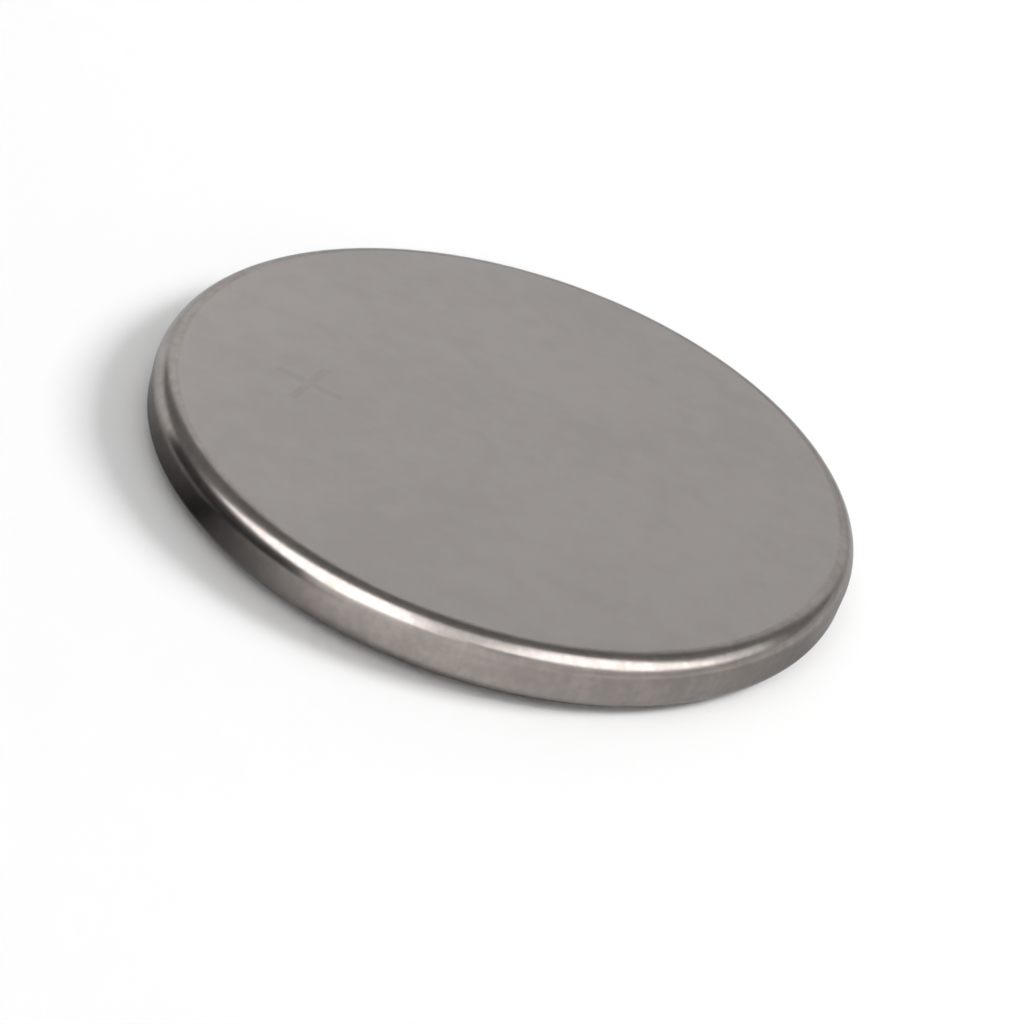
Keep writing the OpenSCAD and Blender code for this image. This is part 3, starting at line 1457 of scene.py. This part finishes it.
@dataclass
class Pellet(TurnedPiece):
    """Cathode: a pressed pellet with a neck that fills the ring's foot.

    Attributes:
        ring: The ring that it is pressed into.
        bevel: Bevel on its edges.
        space: Space between it and the ring's wall.
    """

    ring: Ring | None = None
    bevel: float = 0.08
    space: float = 0.02

    def outline(self) -> np.ndarray:
        """Goes from the pellet's lower face round its bevels to the neck.

        Returns:
            The section.
        """
        size, bevel = self.size, self.bevel
        step_z = size.high - self.ring.thickness
        neck_r = self.ring.foot_r - self.space
        corners = [
            (0, size.low), (size.radius - bevel, size.low), (size.radius, size.low + bevel),
            (size.radius, step_z - bevel), (size.radius - bevel, step_z),
            (neck_r, step_z), (neck_r, size.high), (0, size.high),
        ]
        soft = self.edge_r
        return filleted(corners, [0, soft, soft, soft, soft, 0, soft, 0])


# ---------------------------------------------------------------- sub-assemblies


@dataclass
class Case:
    """What closes the cell: the can, the gasket and the cap.

    Attributes:
        steel: Colour of the can's steel.
        cap_steel: Colour of the cap's steel.
        plastic: Colour of the gasket.
        cover: Thickness of the gasket between the rim's edge and the cap's shoulder.
        mark_centre: Place of the plus sign on the face.
    """

    steel: Colour = (0.392, 0.366, 0.349)
    cap_steel: Colour = (0.44, 0.415, 0.4)
    plastic: Colour = (0.16, 0.16, 0.17)
    cover: float = 0.1
    mark_centre: tuple[float, float] = (-5.7, -1.3)

    def can(self) -> Can:
        """The can, with the plus sign on its face.

        Returns:
            The can.
        """
        face = NodeSize.of("positive_can")
        mark = PlusMark(centre=(*self.mark_centre, face.high))
        finish = SteelFinish(
            "can_steel", self.steel, variation=0.03, patches_per_mm=0.25,
            worn_edge=(face.radius, face.high), mark=mark,
        )
        return Can("can_pressing", "positive_can", Slot.CAN, finish, segments=512, edge_r=0.03)

    def cap(self, can: Can, film: float) -> Cap:
        """The cap, with its shoulder under the can's rim.

        Args:
            can: The can.
            film: Film of sealant on each side of the gasket.

        Returns:
            The cap.
        """
        finish = SteelFinish(
            "cap_steel", self.cap_steel, variation=0.03, patches_per_mm=0.25,
            satin=0.32, polish=0.2, polish_from=7.9, worn_edge=(8.0, 0.0),
        )
        return Cap(
            "cap_pressing", "negative_cap", Slot.CAP, finish, segments=448, edge_r=0.03,
            shoulder_z=can.rim_edge_z + self.cover + 2 * film,
        )

    def build(self) -> list[bpy.types.Object]:
        """Makes the can, the gasket and the cap.

        Returns:
            The three pieces.
        """
        can = self.can()
        finish = PlasticFinish("gasket_plastic", self.plastic, variation=0.12, patches_per_mm=0.4)
        gasket = Gasket("gasket_moulding", "gasket", Slot.GASKET, finish, segments=384, can=can)
        gasket.cap = self.cap(can, gasket.film)
        return [can.build(), gasket.build(), gasket.cap.build()]


@dataclass
class Anode:
    """The lithium disc.

    Attributes:
        lithium: Colour of clean foil.
    """

    lithium: Colour = (0.66, 0.67, 0.69)

    def build(self) -> list[bpy.types.Object]:
        """Makes the disc."""
        finish = FoilFinish("lithium_foil", self.lithium, variation=0.05, patches_per_mm=0.3)
        return [LithiumDisc("lithium_foil_disc", "lithium_disc", Slot.LITHIUM, finish, edge_r=0.03).build()]


@dataclass
class Cathode:
    """The separator, the pellet and its ring.

    Attributes:
        fleece: Colour of the separator.
        powder: Colour of the pellet.
        steel: Colour of the ring.
    """

    fleece: Colour = (0.88, 0.88, 0.86)
    powder: Colour = (0.05, 0.05, 0.05)
    steel: Colour = (0.45, 0.45, 0.45)

    def build(self) -> list[bpy.types.Object]:
        """Makes the three pieces.

        Returns:
            The pieces.
        """
        fleece = FleeceFinish("separator_fleece", self.fleece, variation=0.04, patches_per_mm=0.5)
        powder = PowderFinish("cathode_powder", self.powder, variation=0.15, patches_per_mm=0.6)
        ring_r = NodeSize.of("cathode_ring").radius
        steel = SteelFinish(
            "ring_steel", self.steel, variation=0.04, patches_per_mm=0.5,
            polish_from=ring_r - 0.1, worn_edge=(ring_r, 0.72),
        )
        cup = Separator("separator_cup", "separator", Slot.SEPARATOR, fleece, segments=384, edge_r=0.015)
        ring = Ring("ring_pressing", "cathode_ring", Slot.RING, steel)
        pellet = Pellet("pellet_tablet", "cathode_pellet", Slot.PELLET, powder, ring=ring)
        return [cup.build(), pellet.build(), ring.build()]


# ---------------------------------------------------------------- studio


class Lights(Enum):
    """Whether a lamp lights matt surfaces, and whether the metal mirrors it."""

    METAL = (False, True)
    FLOOR = (True, False)


@dataclass(frozen=True)
class Lamp:
    """A soft lamp that faces the cell, or a panel that hangs level over it.

    Attributes:
        name: Its name.
        centre: Its place, in millimetres.
        width: Its width, in millimetres.
        height: Its height, or a level panel's length along Y, in millimetres.
        brightness: How bright its face is, where 1 is white.
        lights: What its light falls on.
        level: Whether it hangs level and faces straight down.
    """

    name: str
    centre: Triple
    width: float
    height: float
    brightness: float
    lights: Lights
    level: bool = False

    def build(self) -> bpy.types.Object:
        """Makes the lamp. Its power is brightness * pi * area.

        Returns:
            The lamp.
        """
        data = bpy.data.lights.new(self.name, "AREA")
        data.shape = "RECTANGLE"
        data.size, data.size_y = self.width * MM, self.height * MM
        data.energy = self.brightness * math.pi * data.size * data.size_y
        lamp = bpy.data.objects.new(self.name, data)
        lamp.location = Vector(self.centre) * MM
        if not self.level:
            lamp.rotation_euler = lamp.location.to_track_quat("Z", "Y").to_euler()
        lamp.visible_diffuse, lamp.visible_glossy = self.lights.value
        bpy.context.scene.collection.objects.link(lamp)
        return lamp


def standing(azimuth: float, elevation: float, distance: float) -> Triple:
    """Place at a direction from the cell: d * (cos e sin a, -cos e cos a, sin e).

    Args:
        azimuth: Angle a from -Y towards +X, in degrees.
        elevation: Angle e above the floor, in degrees.
        distance: Distance d.

    Returns:
        The place.
    """
    turn, lift = math.radians(azimuth), math.radians(elevation)
    flat = distance * math.cos(lift)
    return flat * math.sin(turn), -flat * math.cos(turn), distance * math.sin(lift)


def matt(name: str, colour: Colour | None = None) -> bpy.types.Material:
    """Makes a matt material.

    Args:
        name: Its name.
        colour: Its colour. Without one it takes the tone of each point of the mesh.

    Returns:
        The material.
    """
    material = bpy.data.materials.new(name)
    material.use_nodes = True
    nodes = Nodes(material.node_tree)
    shader = material.node_tree.nodes["Principled BSDF"]
    if colour is None:
        tone = nodes.add("ShaderNodeAttribute", attribute_name=TONE).outputs["Color"]
    else:
        tone = rgba(colour)
    for key, value in (("Base Color", tone), ("Roughness", 0.9), ("Specular IOR Level", 0.0)):
        nodes.feed(shader.inputs[key], value)
    return material


@dataclass(frozen=True)
class Card:
    """A grey card that only the metal mirrors: a painted reflection, whose greys put shade into the metal's
    reflection. It casts no shadow and the camera doesn't see it.

    Attributes:
        name: Its name.
        edges: Radius and height of its two edges, in millimetres.
        stops: Azimuths in rising order, in degrees from -Y towards +X.
        tones: Its grey at each stop, which sets how dark the painted reflection is there.
        steps: Steps round the axis.
    """

    name: str
    edges: tuple[tuple[float, float], tuple[float, float]]
    stops: tuple[float, ...]
    tones: tuple[float, ...]
    steps: int

    def build(self) -> bpy.types.Object:
        """Makes the card: a strip between its edges, carried round the axis.

        An edge's radius r and height z go to (r sin a, -r cos a, z) at azimuth a. The
        grey at an azimuth is interpolated between the stops on either side.

        Returns:
            The card.
        """
        degrees = np.linspace(self.stops[0], self.stops[-1], self.steps + 1)
        azimuth = np.radians(degrees)
        radius, height = np.split(np.array(self.edges), 2, axis=1)
        places = np.stack(
            [radius * np.sin(azimuth), -radius * np.cos(azimuth), height + 0 * azimuth], axis=-1,
        )
        here = np.arange(self.steps)
        faces = np.stack([here, here + 1, here + 1 + len(azimuth), here + len(azimuth)], axis=-1)
        card = meshed(self.name, places.reshape(-1, 3), faces.tolist())
        grey = np.tile(np.interp(degrees, self.stops, self.tones), 2)
        colours = np.column_stack([grey, grey, grey, np.ones_like(grey)])
        card.data.attributes.new(TONE, "FLOAT_COLOR", "POINT").data.foreach_set("color", colours.ravel())
        card.data.materials.append(matt(self.name))
        card.visible_camera = card.visible_diffuse = card.visible_shadow = False
        return card


@dataclass
class Studio:
    """Floor that curves up into a round backdrop, cards that paint dark reflections into the metal, lamps,
    room and camera.

    Attributes:
        floor_r: Radius of the flat floor.
        cove_r: Radius of the curve between the floor and the backdrop.
        side_h: Height of the backdrop at the sides.
        front_h: Its height on the camera's side.
        front_turn: How far to the camera's right the middle of that part lies, in degrees.
        front_span: Cosines of the angle from its middle between which it rises to that height.
        back_h: Its height on the far side.
        back_span: The same for the far side.
        board: Thickness of the floor and the backdrop.
        hub_r: Radius of the first of the floor's rings.
        rings: How many rings it has.
        segments: Steps round the axis.
        pale: Colour of the floor and the backdrop.
        surroundings: Brightness of the room above the backdrop.
        distance: Distance of the camera from the centre of the positive face.
        elevation: Angle of the camera above the floor, in degrees.
        roll: How far the camera leans, in degrees.
        lens: Focal length.
        clip: Nearest and furthest distance that the camera sees, in metres.
        aim: How far right of and above the face's centre the camera points, across its view.
        cards: The cards, painted reflections that only the metal mirrors.
        lamps: The lamps.
    """

    floor_r: float = 150.0
    cove_r: float = 50.0
    side_h: float = 60.0
    front_h: float = 120.0
    front_turn: float = 20.0
    front_span: tuple[float, float] = (0.5, 0.9)
    back_h: float = 235.0
    back_span: tuple[float, float] = (0.7, 0.9)
    board: float = 5.0
    hub_r: float = 5.0
    rings: int = 12
    segments: int = 128
    pale: Colour = (0.95, 0.95, 0.95)
    surroundings: float = 0.23
    distance: float = 60.0
    elevation: float = 30.3
    roll: float = 18.94
    lens: float = 76.56
    clip: tuple[float, float] = (0.001, 10.0)
    aim: tuple[float, float] = (-0.133, -2.286)
    cards: tuple[Card, ...] = (
        # painted reflection: a near-black upright card left of the cell that only the metal mirrors,
        # darkening its corner and wall there
        Card(
            "painted_reflection_card", edges=((14.0, 0.0), (14.0, 3.4)), steps=24,
            stops=(-74.0, -28.0), tones=(0.04, 0.04),
        ),
        # painted reflection: a mat round the cell that only the metal mirrors, near-black at the front left
        # and grey on the right, painting shade into the wall's reflection of the floor
        Card(
            "painted_reflection_mat", edges=((10.05, 0.02), (30.0, 0.02)), steps=96,
            stops=(-95.0, -47.0, -18.0, 0.0, 70.0, 120.0), tones=(0.95, 0.04, 0.95, 0.95, 0.5, 0.95),
        ),
    )
    lamps: tuple[Lamp, ...] = (
        Lamp("left_panel", (-360, -525, 400), 620, 950, 3.6, Lights.METAL, level=True),
        Lamp("right_panel", (410, -205, 400), 620, 430, 3.3, Lights.METAL, level=True),
        Lamp("right_wing", (690, 121, 400), 620, 220, 1.3, Lights.METAL, level=True),
        Lamp("right_end", (860, -120, 400), 280, 260, 1.3, Lights.METAL, level=True),
        Lamp("middle_panel", (18, -470, 400), 140, 860, 1.1, Lights.METAL, level=True),
        Lamp("back_panel", standing(180, 31, 170), 260, 90, 0.24, Lights.METAL),
        Lamp("key_lamp", standing(108, 38, 500), 180, 180, 19.0, Lights.FLOOR),
        Lamp("fill_lamp", (0, 0, 480), 700, 700, 0.62, Lights.FLOOR, level=True),
    )

    def raise_wall(self, radius: np.ndarray, angle: np.ndarray, height: np.ndarray) -> np.ndarray:
        """Stretches the backdrop's wall from its height at the sides to those behind and before the cell.

        Args:
            radius: Distance from the axis.
            angle: Angle round the axis in radians, from +X towards +Y.
            height: Height.

        Returns:
            The shift (dr, dz) of each point. dz grows with the cosine of the angle from the
            middle of the part behind the cell, and of the part before it.
        """
        risen = np.clip(height - self.cove_r, 0, None) / (self.side_h - self.cove_r)
        behind = ramp(np.sin(angle), *self.back_span)
        before = ramp(-np.sin(angle - math.radians(self.front_turn)), *self.front_span)
        lift = risen * ((self.back_h - self.side_h) * behind + (self.front_h - self.side_h) * before)
        return np.stack([np.zeros_like(lift), lift], axis=-1)

    def floor(self) -> bpy.types.Object:
        """Makes the floor and backdrop: a flat disc, a quarter circle and a wall, carried round the axis.

        Returns:
            The floor and backdrop, in one piece.
        """
        wall_r = self.floor_r + self.cove_r
        outer_r = wall_r + self.board
        profile = np.concatenate([
            [(0, 0)], np.linspace((self.hub_r, 0), (self.floor_r, 0), self.rings),
            arc((self.floor_r, self.cove_r), self.cove_r, -90, 0)[1:],
            [(wall_r, self.side_h), (outer_r, self.side_h), (outer_r, -self.board), (0, -self.board)],
        ])
        made = turned("floor_and_backdrop", profile, self.segments, self.raise_wall)
        made.data.materials.append(matt("pale_floor", self.pale))
        return made

    def world(self) -> None:
        """Makes the room above the backdrop one plain grey."""
        world = bpy.data.worlds.new("room")
        world.use_nodes = True
        world.node_tree.nodes["Background"].inputs["Color"].default_value = rgba((1, 1, 1), self.surroundings)
        bpy.context.scene.world = world

    def camera(self, target: Vector) -> bpy.types.Object:
        """Places the camera.

        Args:
            target: Centre of the positive face.

        Returns:
            The camera.
        """
        lift, lean = math.radians(self.elevation), math.radians(self.roll)
        back = Vector((0, -math.cos(lift), math.sin(lift)))
        level = Vector((1, 0, 0))
        upright = back.cross(level)
        right = level * math.cos(lean) + upright * math.sin(lean)
        up = upright * math.cos(lean) - level * math.sin(lean)
        place = target + back * self.distance * MM
        aim = target + (right * self.aim[0] + up * self.aim[1]) * MM
        back = (place - aim).normalized()
        right = up.cross(back).normalized()
        up = back.cross(right)
        data = bpy.data.cameras.new("camera")
        data.lens = self.lens
        data.clip_start, data.clip_end = self.clip
        camera = bpy.data.objects.new("camera", data)
        camera.matrix_world = Matrix.Translation(place) @ Matrix((right, up, back)).transposed().to_4x4()
        bpy.context.scene.collection.objects.link(camera)
        bpy.context.scene.camera = camera
        return camera

    def build(self) -> None:
        """Makes the whole studio."""
        self.floor()
        for made in (*self.cards, *self.lamps):
            made.build()
        self.world()
        self.camera(Vector((0, 0, NodeSize.of("positive_can").high * MM)))
        bpy.context.scene.view_settings.view_transform = "Standard"


def main() -> None:
    """Builds the cell from the outside in, then the studio, and reports each part."""
    logging.basicConfig(level=logging.INFO, format="%(message)s")
    for part in (Case(), Anode(), Cathode()):
        pieces = part.build()
        log.info("%s: %s", type(part).__name__, ", ".join(piece.name for piece in pieces))
    Studio().build()


if __name__ == "__main__":
    main()
